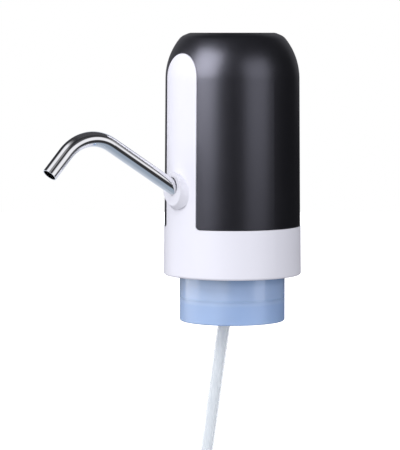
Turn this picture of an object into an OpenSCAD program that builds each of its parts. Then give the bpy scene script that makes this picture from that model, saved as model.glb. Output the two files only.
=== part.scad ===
// Electric drinking water pump. Millimetres. The origin is the middle of the seat's underside, +Z
// points up along the body and the spout points along -Y.

/* [Neck skirt] */
// bore of the skirt below the seat
neck_bore = 54.9; // [53:0.1:57]
// wall of the skirt
skirt_wall = 1.3; // [1.1:0.1:1.8]
// depth of the skirt below the seat
skirt_depth = 11.5; // [9:0.5:16]
// thickness of the seat ring
seat_t = 1.5; // [1.2:0.1:2.2]
// opening in the seat ring
seat_open = 40; // [34:1:44]
// height from the seat to the foot of the body
adapter_rise = 13.8; // [12.5:0.1:18]

/* [Body] */
// diameter of the body at its foot
body_d = 75.2; // [74:0.2:84]
// height of the body from its foot to its flat top
body_h = 131.5; // [129:0.5:150]
// height of the white band below the seam
band_h = 26.5; // [22:0.5:30]
// loss of radius from the foot to the seam
band_draft = 0.25; // [0:0.05:0.5]
// wall of the body and of the cover
shell_wall = 2.2; // [1.8:0.1:2.4]
// how far the white body stands proud of the cover
proud = 0.3; // [0.1:0.05:0.5]
// gap between the cover and the body along the seam
seam_gap = 0.2; // [0.1:0.05:0.4]
// radius of the foot's edge
foot_round = 1; // [0.5:0.1:1.5]

/* [Cover] */
// loss of radius from the seam to the shoulder
cover_draft = 0.6; // [0.2:0.1:0.8]
// height of the rounded shoulder
shoulder_h = 25; // [20:0.5:30]
// how far the shoulder comes in from the side
shoulder_run = 8.75; // [7:0.05:11]
// height of the bevel
bevel_h = 1.8; // [1:0.1:2.4]
// width of the bevel
bevel_run = 4.5; // [3:0.1:6]
// reach of the rounding between the shoulder and the bevel
corner_run = 1.9; // [1:0.1:2]
// thickness of the top wall
top_t = 2.5; // [2:0.1:3]

/* [Tongue and boss] */
// width of the tongue up the front
tongue_w = 26; // [24:0.5:30]
// drop from the flat top to the top of the tongue
tongue_drop = 11.1; // [9:0.1:20]
// radius at the root of the tongue
root_r = 2; // [1:0.1:3]
// radius of the boss at its face
boss_r = 7.75; // [7.2:0.05:8.4]
// growth of the boss's radius for each millimetre back from its face
boss_taper = 0.2; // [0.1:0.02:0.24]
// how far the boss's face stands in front of the tongue
boss_proud = 3.7; // [2.5:0.1:5]
// height of the spout's axis above the foot, at the boss's face
boss_rise = 49.3; // [47:0.1:54]
// depth of the wider mouth in the boss
mouth_depth = 1.6; // [1.2:0.1:2]

/* [Spout] */
// outside diameter of the spout
spout_d = 8; // [7.4:0.1:8.6]
// wall of the spout
spout_wall = 0.5; // [0.4:0.1:0.8]
// slope of the spout's first leg above level
spout_slope = 31; // [28:0.5:34]
// length of the first leg outside the boss
spout_leg = 46; // [38:0.5:60]
// centreline radius of the bend
spout_bend_r = 23; // [18:0.5:30]
// angle of the bend
spout_bend = 78; // [60:1:90]
// length of the last leg
spout_tip = 14.4; // [12:0.2:24]
// depth of the spout inside the boss
spout_in = 10; // [9:0.2:10.4]

/* [Button] */
// diameter of the power button
button_d = 28; // [24:0.5:29]
// travel of the power button
button_travel = 0.8; // [0.4:0.1:1]
// width of the light ring around the button
ring_w = 1.6; // [1.2:0.1:2]

/* [Motor and pump] */
// diameter of the motor
motor_d = 24.4; // [23.6:0.1:24.8]
// length of the motor's can
motor_l = 30.8; // [29:0.1:34]
// diameter of the motor's shaft
shaft_d = 2; // [1.8:0.1:2.3]
// diameter of the pump head
pump_d = 27; // [26.4:0.1:27.4]
// radius of the circle that the three cups stand on
cup_ring = 7; // [6.8:0.1:7.2]
// tilt of the wobble plate
tilt = 5; // [3:0.5:6]

/* [Cell and boards] */
// gap between the battery cell and the cover
cell_wall_gap = 0.6; // [0.4:0.1:1.2]
// gap between the battery cell and the motor
cell_motor_gap = 3.05; // [3:0.05:4]
// room above the battery cell for its leads
cell_head = 8.8; // [7:0.1:16]
// thickness of the circuit boards
board_t = 1.2; // [0.8:0.1:1.6]

/* [Hose] */
// outside diameter of the hoses
hose_d = 7; // [6.8:0.1:7.2]
// lean of the hanging hose off upright, to the front
hose_lean = 9.9; // [4:0.1:12]
// length of the leaning stretch
hose_hang = 68; // [50:1:90]
// centreline radius of the wound ring
wind_r = 38.5; // [35:0.5:45]
// turns of the wound ring
wind_turns = 1.2; // [1.15:0.01:1.3]
// sideways step of the ring for each turn
wind_step = 8.6; // [8.4:0.1:12]

/* [Clearances] */
// gap along each side of the tongue
slot_gap = 0.2; // [0.1:0.05:0.3]
// gap between plastic pieces that fit together
fit_gap = 0.12; // [0.08:0.01:0.2]
// radial gap of a pin or shaft in its hole
pin_gap = 0.03; // [0.02:0.01:0.05]
// radial gap of the spout in its bore and seal
spout_gap = 0.04; // [0.02:0.01:0.08]
// radial gap of the spout in the boss's mouth
mouth_gap = 0.45; // [0.3:0.05:0.6]
// gap around the button
button_gap = 0.25; // [0.15:0.05:0.3]
// gap between a hose and its nozzle
nozzle_gap = 0.08; // [0.05:0.01:0.12]

/* [Hidden] */
$fn = 96;

// heights
foot_z = adapter_rise;
seam_z = foot_z + band_h;
top_z = foot_z + body_h;
shoulder_z = top_z - shoulder_h;
bevel_z = top_z - bevel_h;
arch_z = top_z - tongue_drop - tongue_w / 2;

// radii of the shells
foot_r = body_d / 2;
band_r = foot_r - band_draft;
body_in_r = band_r - shell_wall;
cover_seam_r = band_r - proud;
cover_top_r = cover_seam_r - cover_draft;
bevel_r = cover_top_r - shoulder_run;
flat_r = bevel_r - bevel_run;
shoulder_rise = shoulder_h - bevel_h;
shoulder_r = (shoulder_run * shoulder_run + shoulder_rise * shoulder_rise) / (2 * shoulder_run);
bevel_fall = bevel_h / bevel_run;
corner_l = min(corner_run, 0.4 * norm([bevel_run, bevel_h]));
corner_steps = 4;
arc_steps = 18;
lip_h = 5;
lip_t = 1.4;
lip_r = cover_r(seam_z + lip_h) - shell_wall - fit_gap;
bead = 0.25;
bead_z = seam_z + lip_h * 0.6;

// adapter and base plate
adapter_r = neck_bore / 2 + skirt_wall;
adapter_wall = skirt_wall + 0.3;
collar_r = adapter_r - adapter_wall - fit_gap;
collar_t = 2.4;
collar_end = seat_t + 1;
snap = 0.4;
snap_z = foot_z - 5;
plate_recess = 1;
plate_t = 2.5;
plate_z = foot_z + plate_recess;
plate_top = plate_z + plate_t;
plate_r = body_in_r - fit_gap;
pad_h = 4;
pad_r = 8.5;
screw_boss_r = 3;
base_screw_r = body_in_r - screw_boss_r - 0.6;
base_screw_angles = [for (k = [0 : 3]) 45 + 90 * k];
leg_r = 3.4;
leg_ring = pump_d / 2 + leg_r + 4.6;
leg_angles = [25, 90, 155];
tap_r = 1.3;
head_r = 2.5;
head_h = 1.4;
head_sink = head_h + 0.2;
tap_l = 9;

// spout
boss_s = cover_r(foot_z + boss_rise) + proud + boss_proud;
spout_z = foot_z + boss_rise;
spout_bore_r = spout_d / 2 + spout_gap;
mouth_r = spout_d / 2 + mouth_gap;
seal_cord = 0.85;
seal_groove_r = spout_bore_r + 2 * seal_cord + 0.1;
seal_cover = 1;
seal_x = -seal_groove_r * tan(spout_slope) - seal_cover - seal_cord - 0.15;
socket_in = spout_in + 2.5;
socket_r = seal_groove_r + 1.3;
barb_clear = 8.521;
barb_l = (boss_s - pump_d / 2 - barb_clear) / cos(spout_slope) - socket_in;

// hoses and nozzles
hose_r = hose_d / 2;
hose_sides = 10;
hose_bore_r = hose_r - 0.75;
nozzle_r = hose_bore_r * cos(180 / hose_sides) - nozzle_gap;
nozzle_neck = nozzle_r - 0.2;
nozzle_bore = 1.5;
nozzle_end = seat_t + 4.5;
hose_top = plate_z - 0.4;

// pump stack
pump_r = pump_d / 2;
man_z = plate_top + pad_h;
man_h = 8;
valve_z = man_z + man_h;
valve_h = 3;
dia_z = valve_z + valve_h;
dia_t = 1.2;
crank_z = dia_z + dia_t;
crank_h = 19.8;
crank_wall = 1.5;
crank_roof = 2;
motor_z = crank_z + crank_h;
motor_r = motor_d / 2;
plenum_in = cup_ring - 1;
plenum_out = cup_ring + 3.5;
plenum_s = (plenum_in + plenum_out) / 2;
plenum_h = 3;
pocket_r = cup_ring - 2.8;
inlet_valve_s = cup_ring - 2;
inlet_port_s = cup_ring - 3.25;
outlet_valve_s = cup_ring + 1.1;
outlet_port_s = cup_ring + 2.3;
valve_stem_r = 0.55;
valve_head_h = 0.6;
outlet_s = pump_r + hose_r + 0.7;
lug_h = 7;
lug_w = 9;
lift_h = 8;
cup_angles = [30, 150, 270];
pump_screw_angles = [90, 210, 330];
pump_screw_ring = pump_r - 1.75;
m2_r = 0.9;
m2_head_r = 1.7;
m2_head_h = 1.2;
cup_r = 4.6;
cup_top_r = 3.4;
cup_h = 3.35;
cup_wall = 0.7;
stem_r = 0.85;
arm_t = 1.6;
arm_gap = 0.3;
pivot_z = crank_z + cup_h + arm_gap + arm_t / 2;
wobble_pin_r = 0.75;
wobble_pin_l = 8;
hub_r = 2.6;
hub_h = 2.6;
ecc_r = 5;
ecc_z = pivot_z + 3.2;
ecc_top = motor_z - crank_roof - 0.5;
shaft_r = shaft_d / 2;
shaft_end = pivot_z + wobble_pin_l + 0.7;

// motor
can_t = 1;
bush_r = 2.5;
motor_boss_r = 3.4;
motor_boss_h = 1.6;
motor_screw_ring = 8;
magnet_t = 1.2;
core_r = motor_r - can_t - magnet_t - 0.9;
cap_in = 3;
cap_out = 1.5;
bush_l = 2.5;
commutator_l = 4;
commutator_r = 2.9;
commutator_slit = 0.3;
commutator_z = motor_z + motor_l - cap_in - 1.4 - commutator_l;
armature_z = motor_z + bush_l + 3.5;
armature_l = commutator_z - 0.4 - armature_z;
winding_l = 2;
winding_in = 2.6;
core_slot = 1.6;
magnet_z = motor_z + 4;
magnet_l = motor_z + motor_l - cap_in - 3.8 - magnet_z;
magnet_split = 6.8;
terminal_y = 7.6;
terminal_top = motor_z + motor_l + 6;

// frame, cell and boards
deck_z = motor_z + 0.3;
deck_t = 2;
deck_top = deck_z + deck_t;
cover_in_r = cover_top_r - shell_wall;
deck_r = cover_in_r - 1.2;
ring_in = motor_r + fit_gap;
ring_wall = 1.8;
cell_r = (cover_in_r - cell_wall_gap - motor_r - cell_motor_gap) / 2;
cell_ring = cover_in_r - cell_wall_gap - cell_r;
cell_angle = 8;
cell_x = cell_ring * cos(cell_angle);
cell_y = cell_ring * sin(cell_angle);
cradle_t = 1.2;
cradle_h = 44;
usb_w = 7.6;
usb_h = 2.8;
usb_l = 5.6;
usb_z = deck_top + 8;
usb_face = cover_r(usb_z) - shell_wall - 0.7;
charge_w = 18;
charge_h = 22;
charge_y = usb_face - usb_l;
button_board_r = 24;
button_board_top = top_z - 13.5;
button_board_z = button_board_top - board_t;
cell_cap_h = 1.2;
cell_cap_inset = 0.6;
cell_l = button_board_z - cell_head - cell_cap_h - deck_top;
post_ring = 20.6;
board_screw_l = 5;
post_angles = [30, 150, 270];
post_r = 2.3;
lead_r = 0.7;
lead_apart = 3;
motor_lead_x = -6;
battery_lead_x = 12;
charge_lead_y = 12;
lead_gap = 0.2;
lead_stub = 1;

// button
button_r = button_d / 2;
ring_in_r = button_r + button_gap;
ring_out_r = ring_in_r + ring_w;
ring_flange = 1.6;
ring_flange_h = 1.2;
button_skirt_z = top_z - top_t - ring_flange_h - 0.15;
button_flange = 1.2;
button_dish = 0.7;
button_wall = 1.6;
button_roof = 2.4;
button_edge = 0.4;
button_flange_h = 1.4;
button_stem_r = 2.5;
switch_w = 6;
switch_h = 3.5;
plunger_r = 1.6;
plunger_top = button_board_top + switch_h + 1.2;

// route of the suction hose, as distance to the front and height
lean = tan(hose_lean);
hang_z = -skirt_depth - 5.2;
hang_s = 6.1;
hang_end_z = hang_z - hose_hang * cos(hose_lean);
hang_end_s = hang_s + hose_hang * sin(hose_lean);
wind_z = hang_end_z - 56;

// colours
white = [0.93, 0.93, 0.95];
black = [0.09, 0.09, 0.1];
steel = [0.75, 0.76, 0.78];
clear_blue = [0.68, 0.77, 0.9];
rubber = [0.2, 0.2, 0.22];
silicone = [0.85, 0.87, 0.88];
brass = [0.8, 0.65, 0.3];
copper = [0.72, 0.4, 0.22];
board_green = [0.1, 0.35, 0.2];
grey = [0.55, 0.56, 0.58];

function cover_r(z) = band_r - proud - cover_draft * (z - seam_z) / (shoulder_z - seam_z);
function unit(v) = v / norm(v);
function at(p, i) = p[max(0, min(len(p) - 1, i))];
function tangent(p, i) = unit(at(p, i + 1) - at(p, i - 1));
function side_dir(t) = unit([1, 0, 0] - t * t[0]);
function ring_of(c, t, r, n) = [for (k = [0 : n - 1])
    c + r * (cos(360 * k / n) * side_dir(t) + sin(360 * k / n) * cross(t, side_dir(t)))];
// point at u along a cubic curve with four control points
function cubic(a, b, c, d, u) = pow(1 - u, 3) * a + 3 * u * pow(1 - u, 2) * b
    + 3 * u * u * (1 - u) * c + u * u * u * d;
function curve(a, b, c, d, n) = [for (i = [0 : n]) cubic(a, b, c, d, i / n)];
function rest(p) = [for (i = [1 : len(p) - 1]) p[i]];
function length_of(p, i = 0) = i >= len(p) - 1 ? 0 : norm(p[i + 1] - p[i]) + length_of(p, i + 1);
// least distance between points of one route that lie at least skip points apart
function self_gap(p, skip) = min([for (i = [0 : len(p) - 1 - skip])
    for (j = [i + skip : len(p) - 1]) norm(p[i] - p[j])]);
function cross_gap(p, q) = min([for (a = p) for (b = q) norm(a - b)]);

// stroke of one cup at rest
function stroke(a) = -cup_ring * tan(tilt) * cos(a - 90);

// hanging stretch, then the swing out to the ring's front
hang_route = concat(
    [[0, 0, hose_top], [0, 0, nozzle_end + 1]],
    rest(curve([0, 0, nozzle_end + 1], [0, 0, nozzle_end - 7],
        [0, -hang_s + 8 * lean, hang_z + 8], [0, -hang_s, hang_z], 5)),
    [[0, -(hang_s + hang_end_s) / 2, (hang_z + hang_end_z) / 2]],
    curve([0, -hang_end_s, hang_end_z], [0, -hang_end_s - 24 * lean, hang_end_z - 24],
        [0, -wind_r, wind_z + hose_d + 20], [0, -wind_r, wind_z + hose_d + 1], 8),
    [[0, -wind_r, wind_z + hose_d]]);
wind_count = ceil(24 * wind_turns);
wind_last = 90 + 360 * wind_turns;
function wind_point(a) = [wind_step * (a - 90) / 360, -wind_r * sin(a), wind_z + wind_r * cos(a)];
function wind_dir(a) = unit([0, -cos(a), -sin(a)]);
wind_route = concat(
    [[0, -wind_r, wind_z + hose_d], [0, -wind_r, wind_z + hose_d / 2]],
    [for (i = [0 : wind_count]) wind_point(90 + 360 * wind_turns * i / wind_count)],
    [wind_point(wind_last) + wind_dir(wind_last) * hose_d]);

// tube along a route, with a bore when the inner radius is above 0
module tube(p, outer, inner, n) {
    last = len(p) - 1;
    outs = [for (i = [0 : last]) each ring_of(p[i], tangent(p, i), outer, n)];
    ins = inner > 0 ? [for (i = [0 : last]) each ring_of(p[i], tangent(p, i), inner, n)] : [];
    base = len(outs);
    skin = [for (i = [0 : last - 1]) for (k = [0 : n - 1]) let (m = (k + 1) % n)
        each [[i * n + k, (i + 1) * n + k, (i + 1) * n + m], [i * n + k, (i + 1) * n + m, i * n + m]]];
    lining = inner > 0 ? [for (i = [0 : last - 1]) for (k = [0 : n - 1]) let (m = (k + 1) % n)
        each [[base + i * n + k, base + (i + 1) * n + m, base + (i + 1) * n + k],
            [base + i * n + k, base + i * n + m, base + (i + 1) * n + m]]] : [];
    ends = inner > 0
        ? [for (k = [0 : n - 1]) let (m = (k + 1) % n, z = last * n)
            each [[k, m, base + m], [k, base + m, base + k],
                [z + k, base + z + k, base + z + m], [z + k, base + z + m, z + m]]]
        : [[for (k = [0 : n - 1]) k], [for (k = [n - 1 : -1 : 0]) last * n + k]];
    polyhedron(points = concat(outs, ins), faces = concat(skin, lining, ends));
}

module ring_at(r, angles) {
    for (a = angles) rotate([0, 0, a]) translate([r, 0, 0]) children();
}

module pipe(r_out, r_in, h) {
    difference() {
        cylinder(h = h, r = r_out);
        translate([0, 0, -1]) cylinder(h = h + 2, r = r_in);
    }
}

// local X runs outwards along the spout's first leg, from the middle of the boss's face
module on_spout() {
    translate([0, -boss_s, spout_z]) rotate([90, 0, -90]) rotate([0, 0, spout_slope]) children();
}

module along_x(x0, x1, r0, r1) {
    translate([x0, 0, 0]) rotate([0, 90, 0]) cylinder(h = x1 - x0, r1 = r0, r2 = r1);
}

// points of a rounding from a to b at the corner c, without a itself
function rounded(a, c, b) = [for (i = [1 : corner_steps]) let (t = i / corner_steps)
    a * (1 - t) * (1 - t) + c * 2 * t * (1 - t) + b * t * t];

// outside of the cover as a half section, set in by inset, with the top lowered by drop
module cover_section(inset, drop, from_z) {
    mid_r = cover_top_r - shoulder_r;
    arc_r = shoulder_r - inset;
    reach = bevel_z - drop - shoulder_z + bevel_fall * (bevel_r - mid_r);
    arc_end = asin(reach / (arc_r * sqrt(1 + bevel_fall * bevel_fall))) - atan(bevel_fall);
    last = arc_end - corner_l / arc_r * 180 / PI;
    arc = [for (i = [0 : arc_steps]) [mid_r + arc_r * cos(last * i / arc_steps),
        shoulder_z + arc_r * sin(last * i / arc_steps)]];
    edge = [mid_r + arc_r * cos(arc_end), shoulder_z + arc_r * sin(arc_end)];
    brow = [flat_r, top_z - drop];
    along = (brow - edge) / norm(brow - edge);
    brow_start = brow - along * corner_l / 2;
    polygon(concat([[0, from_z], [cover_r(from_z) - inset, from_z]], arc,
        rounded(arc[arc_steps], edge, edge + along * corner_l), [brow_start],
        rounded(brow_start, brow, brow - [corner_l / 2, 0]), [[0, top_z - drop]]));
}

// front view of the tongue, grown on all sides for the slot in the cover
module tongue_front(grow) {
    half = tongue_w / 2 + grow;
    mid = tongue_w / 2 + slot_gap + root_r;
    mid_z = seam_z + seam_gap + root_r;
    translate([-half, seam_z - 3]) square([2 * half, arch_z - seam_z + 3]);
    translate([0, arch_z]) circle(r = half);
    for (side = [0, 1]) mirror([side, 0]) difference() {
        translate([half - 0.5, seam_z - 3]) square([mid - half + 0.5, mid_z - seam_z + 3]);
        translate([mid, mid_z]) circle(r = root_r + slot_gap - grow);
    }
}

module tongue_prism(grow) {
    rotate([90, 0, 0]) linear_extrude(height = foot_r + 10) tongue_front(grow);
}

module screw(shank_r, shank_l, top_r, top_h) {
    cylinder(h = shank_l, r = shank_r);
    difference() {
        translate([0, 0, -top_h]) cylinder(h = top_h, r = top_r);
        for (a = [0, 90]) rotate([0, 0, a])
            translate([-top_r * 0.6, -top_r * 0.1, -top_h * 1.5]) cube([top_r * 1.2, top_r * 0.2, top_h]);
    }
}

// nozzle pointing up from z 0, with a barb at its end
module nozzle(l) {
    cylinder(h = l, r = nozzle_neck);
    translate([0, 0, l - 3]) cylinder(h = 1, r1 = nozzle_neck, r2 = nozzle_r);
    translate([0, 0, l - 2]) cylinder(h = 2, r1 = nozzle_r, r2 = nozzle_neck - 0.2);
}

module top_cover() color(black) {
    difference() {
        rotate_extrude() cover_section(0, 0, seam_z + seam_gap);
        rotate_extrude() cover_section(shell_wall, top_t, seam_z - 1);
        rotate_extrude() translate([cover_r(bead_z) - shell_wall, bead_z])
            polygon([[-0.5, -0.9], [bead + 0.15, -0.15], [bead + 0.15, 0.15], [-0.5, 0.9]]);
        tongue_prism(slot_gap);
        translate([0, 0, top_z - 10]) cylinder(h = 20, r = ring_out_r + fit_gap);
        translate([0, 0, usb_z]) rotate([-90, 0, 0]) linear_extrude(height = foot_r + 5) {
            square([usb_w - 0.8, usb_h + 2], center = true);
            for (x = [-1, 1]) translate([x * (usb_w - 0.8) / 2, 0]) circle(r = usb_h / 2 + 1);
        }
    }
    ring_at(post_ring, post_angles) difference() {
        translate([0, 0, button_board_top]) cylinder(h = top_z - top_t - button_board_top + 0.5, r = post_r);
        translate([0, 0, button_board_top - 1]) cylinder(h = board_screw_l + 2, r = m2_r + pin_gap);
    }
}

module main_body() color(white) difference() {
    union() {
        rotate_extrude() {
            polygon([[body_in_r, foot_z], [foot_r - foot_round, foot_z], [foot_r, foot_z + foot_round],
                [band_r, seam_z], [lip_r, seam_z], [lip_r, bead_z - 0.6], [lip_r + bead, bead_z],
                [lip_r, bead_z + 0.6], [lip_r, seam_z + lip_h], [lip_r - lip_t, seam_z + lip_h],
                [lip_r - lip_t, seam_z - 3], [body_in_r, seam_z - 4 - body_in_r + lip_r - lip_t]]);
            translate([foot_r - foot_round, foot_z + foot_round]) circle(r = foot_round);
        }
        intersection() {
            rotate_extrude() difference() {
                cover_section(-proud, 0, seam_z - 3);
                cover_section(shell_wall + 0.6, top_t, seam_z - 4);
            }
            tongue_prism(0);
        }
        difference() {
            on_spout() {
                along_x(-8.5, 8, boss_r + 8.5 * boss_taper, boss_r - 8 * boss_taper);
                along_x(-socket_in, -2, socket_r, socket_r);
            }
            translate([-20, -boss_s - 30, spout_z - 30]) cube([40, 30, 60]);
        }
        on_spout() translate([-socket_in + 0.2, 0, 0]) rotate([0, -90, 0]) nozzle(barb_l);
        ring_at(base_screw_r, base_screw_angles) translate([0, 0, plate_top]) {
            cylinder(h = tap_l + 2, r = screw_boss_r);
            translate([0, -1.2, 0]) cube([body_in_r - base_screw_r + 0.6, 2.4, tap_l + 2]);
        }
    }
    on_spout() along_x(-spout_in - 0.3, 14, spout_bore_r, spout_bore_r);
    on_spout() along_x(-mouth_depth, 14, mouth_r, mouth_r);
    on_spout() along_x(seal_x - seal_cord - 0.15, seal_x + seal_cord + 0.15, seal_groove_r, seal_groove_r);
    on_spout() along_x(-socket_in - barb_l - 2, -spout_in, nozzle_bore, nozzle_bore);
    ring_at(base_screw_r, base_screw_angles)
        translate([0, 0, plate_top - 1]) cylinder(h = tap_l + 1, r = tap_r + pin_gap);
}

module base_plate() color(white) difference() {
    union() {
        translate([0, 0, plate_z]) cylinder(h = plate_t, r = plate_r);
        translate([0, 0, collar_end]) pipe(collar_r, collar_r - collar_t, plate_z - collar_end + 0.2);
        rotate_extrude() polygon([[collar_r - 1, snap_z - 0.8], [collar_r, snap_z - 0.8],
            [collar_r + snap, snap_z], [collar_r, snap_z + 0.8], [collar_r - 1, snap_z + 0.8]]);
        translate([0, 0, plate_top - 0.2]) cylinder(h = pad_h + 0.2, r = pad_r);
    }
    translate([0, 0, plate_z - 1]) cylinder(h = plate_t + pad_h + 2, r = nozzle_neck + 0.3);
    translate([0, 0, plate_top + pad_h - 2]) cylinder(h = 3, r = nozzle_neck + 2.2);
    ring_at(base_screw_r, base_screw_angles) {
        translate([0, 0, plate_z - 1]) cylinder(h = plate_t + 2, r = tap_r + 0.2);
        translate([0, 0, plate_z - 1]) cylinder(h = 1 + head_sink, r = head_r + 0.2);
    }
    ring_at(leg_ring, leg_angles) {
        translate([0, 0, plate_z - 1]) cylinder(h = plate_t + 2, r = tap_r + 0.2);
        translate([0, 0, plate_z - 1]) cylinder(h = 1 + head_sink, r = head_r + 0.2);
    }
}

module base_screws() color(steel)
    ring_at(base_screw_r, base_screw_angles)
        translate([0, 0, plate_z + head_sink]) screw(tap_r, tap_l, head_r, head_h);

module frame_screws() color(steel)
    ring_at(leg_ring, leg_angles) translate([0, 0, plate_z + head_sink]) screw(tap_r, tap_l, head_r, head_h);

module neck_adapter() color(clear_blue) rotate_extrude()
    polygon([[neck_bore / 2 + 0.4, -skirt_depth], [adapter_r - 0.4, -skirt_depth],
        [adapter_r, -skirt_depth + 0.4],
        [adapter_r, plate_z - 0.4], [adapter_r - 0.4, plate_z], [collar_r + fit_gap, plate_z],
        [collar_r + fit_gap, snap_z + 0.9], [collar_r + fit_gap + snap, snap_z + 0.1],
        [collar_r + fit_gap + snap, snap_z - 0.1], [collar_r + fit_gap, snap_z - 0.9],
        [collar_r + fit_gap, seat_t], [seat_open / 2, seat_t], [seat_open / 2, 0], [neck_bore / 2, 0],
        [neck_bore / 2, -skirt_depth + 0.4]]);

module spout() color(steel) on_spout() {
    spout_in_r = spout_d / 2 - spout_wall;
    translate([-spout_in, 0, 0]) rotate([0, 90, 0]) pipe(spout_d / 2, spout_in_r, spout_in + spout_leg);
    translate([spout_leg, -spout_bend_r, 0]) rotate([0, 0, 90 - spout_bend]) {
        rotate_extrude(angle = spout_bend) translate([spout_bend_r, 0]) difference() {
            circle(r = spout_d / 2);
            circle(r = spout_in_r);
        }
        translate([spout_bend_r, 0, 0]) rotate([90, 0, 0]) pipe(spout_d / 2, spout_in_r, spout_tip);
    }
}

module spout_seal() color(rubber) on_spout() translate([seal_x, 0, 0]) rotate([0, 90, 0])
    rotate_extrude() translate([spout_bore_r + seal_cord, 0]) circle(r = seal_cord);

module power_button() color(black) rotate_extrude() polygon(concat(
    [[0, plunger_top], [button_stem_r, plunger_top], [button_stem_r, top_z - button_roof],
        [button_r - button_wall, top_z - button_roof],
        [button_r - button_wall, button_skirt_z - button_flange_h],
        [button_r + button_flange, button_skirt_z - button_flange_h],
        [button_r + button_flange, button_skirt_z], [button_r, button_skirt_z],
        [button_r, top_z - button_edge], [button_r - button_edge, top_z]],
    [for (i = [0 : 6]) let (u = 1 - i / 6)
        [(button_r - 3 * button_edge) * u, top_z - button_dish * (1 - u * u)]]));

module light_ring() color([0.8, 0.88, 0.98]) {
    translate([0, 0, top_z - top_t]) pipe(ring_out_r, ring_in_r, top_t - 0.05);
    translate([0, 0, top_z - top_t - ring_flange_h]) pipe(ring_out_r + ring_flange, ring_in_r, ring_flange_h);
}

module switch_plunger() color([0.75, 0.2, 0.15])
    translate([0, 0, plunger_top - 2.2]) cylinder(h = 2.2, r = plunger_r);

module switch_case() color(black) difference() {
    translate([-switch_w / 2, -switch_w / 2, button_board_top]) cube([switch_w, switch_w, switch_h]);
    translate([0, 0, plunger_top - 2.2 - button_travel - 0.3]) cylinder(h = 10, r = plunger_r + 0.1);
}

module button_board() color(board_green) difference() {
    translate([0, 0, button_board_z]) cylinder(h = board_t, r = button_board_r);
    ring_at(post_ring, post_angles)
        translate([0, 0, button_board_z - 1]) cylinder(h = board_t + 2, r = m2_r + 0.2);
}

module board_screws() color(steel)
    ring_at(post_ring, post_angles) translate([0, 0, button_board_z])
        screw(m2_r, board_t + board_screw_l, m2_head_r, m2_head_h);

module indicator_leds() color([0.9, 0.95, 1])
    ring_at(ring_in_r + 0.8, [for (k = [0 : 5]) 60 * k])
        translate([-0.6, -1, button_board_top]) cube([1.2, 2, 0.8]);

module inlet_seal() color(rubber) translate([0, 0, plate_top + pad_h - 1])
    rotate_extrude() translate([nozzle_neck + 0.1 + 0.9, 0]) circle(r = 0.9);

module pump_manifold() color([0.85, 0.85, 0.83]) difference() {
    union() {
        translate([0, 0, man_z]) cylinder(h = man_h, r = pump_r);
        translate([0, 0, man_z + 0.2]) mirror([0, 0, 1]) nozzle(man_z + 0.2 - nozzle_end);
        translate([-lug_w / 2, -outlet_s, man_z]) cube([lug_w, outlet_s - 8, lug_h]);
        translate([0, -outlet_s, man_z]) cylinder(h = lug_h, r = lug_w / 2);
        translate([0, -outlet_s, man_z + lug_h - 0.2]) nozzle(lift_h + 0.2);
    }
    translate([0, 0, valve_z - plenum_h]) pipe(plenum_out, plenum_in, plenum_h + 1);
    translate([0, 0, valve_z - plenum_h]) cylinder(h = plenum_h + 1, r = pocket_r);
    translate([0, 0, nozzle_end - 1]) cylinder(h = valve_z - nozzle_end, r = nozzle_bore);
    translate([0, -plenum_s, man_z + 3]) cylinder(h = man_h, r = nozzle_bore);
    translate([0, -plenum_s, man_z + 3]) rotate([90, 0, 0])
        cylinder(h = outlet_s - plenum_s, r = nozzle_bore);
    translate([0, -outlet_s, man_z + 2]) cylinder(h = lug_h + lift_h, r = nozzle_bore);
    ring_at(pump_screw_ring, pump_screw_angles)
        translate([0, 0, man_z - 1]) cylinder(h = man_h + 2, r = m2_r + pin_gap);
}

module valve_plate() color([0.8, 0.8, 0.78]) difference() {
    translate([0, 0, valve_z]) cylinder(h = valve_h, r = pump_r);
    for (a = cup_angles) rotate([0, 0, a]) {
        translate([inlet_port_s, 0, valve_z - 1]) cylinder(h = valve_h + 2, r = 0.35);
        translate([inlet_valve_s, 0, valve_z - 1]) cylinder(h = valve_h + 2, r = valve_stem_r + 0.05);
        translate([outlet_port_s, 0, valve_z - 1]) cylinder(h = valve_h + 2, r = 0.5);
        translate([outlet_valve_s, 0, valve_z - 1]) cylinder(h = valve_h + 2, r = valve_stem_r + 0.05);
    }
    ring_at(pump_screw_ring, pump_screw_angles)
        translate([0, 0, valve_z - 1]) cylinder(h = valve_h + 2, r = m2_r + pin_gap);
}

module inlet_valves() color(rubber) ring_at(inlet_valve_s, cup_angles) translate([0, 0, dia_z]) {
    cylinder(h = valve_head_h, r1 = 1.6, r2 = 1.1);
    translate([0, 0, -valve_h + 0.6]) cylinder(h = valve_h - 0.5, r = valve_stem_r);
}

module outlet_valves() color(rubber) ring_at(outlet_valve_s, cup_angles) translate([0, 0, valve_z]) {
    translate([0, 0, -valve_head_h]) cylinder(h = valve_head_h, r1 = 1.3, r2 = 1.9);
    translate([0, 0, -0.1]) cylinder(h = valve_h - 0.7, r = valve_stem_r);
}

module diaphragm() color(rubber) difference() {
    union() {
        translate([0, 0, dia_z]) cylinder(h = dia_t, r = pump_r);
        for (a = cup_angles) rotate([0, 0, a]) translate([cup_ring, 0, crank_z]) {
            translate([0, 0, -0.2]) cylinder(h = cup_h + stroke(a) + 0.2, r1 = cup_r, r2 = cup_top_r);
            cylinder(h = cup_h + stroke(a) + 2 * arm_gap + arm_t + 0.4, r = stem_r);
            translate([0, 0, cup_h + stroke(a) + 2 * arm_gap + arm_t]) cylinder(h = 0.9, r1 = 1.5, r2 = 1);
        }
    }
    for (a = cup_angles) rotate([0, 0, a]) translate([cup_ring, 0, dia_z - 0.5])
        cylinder(h = cup_h + stroke(a) + dia_t + 0.5 - cup_wall,
            r1 = cup_r - cup_wall, r2 = cup_top_r - cup_wall);
    ring_at(pump_screw_ring, pump_screw_angles)
        translate([0, 0, dia_z - 1]) cylinder(h = dia_t + 2, r = m2_r + pin_gap);
}

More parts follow.
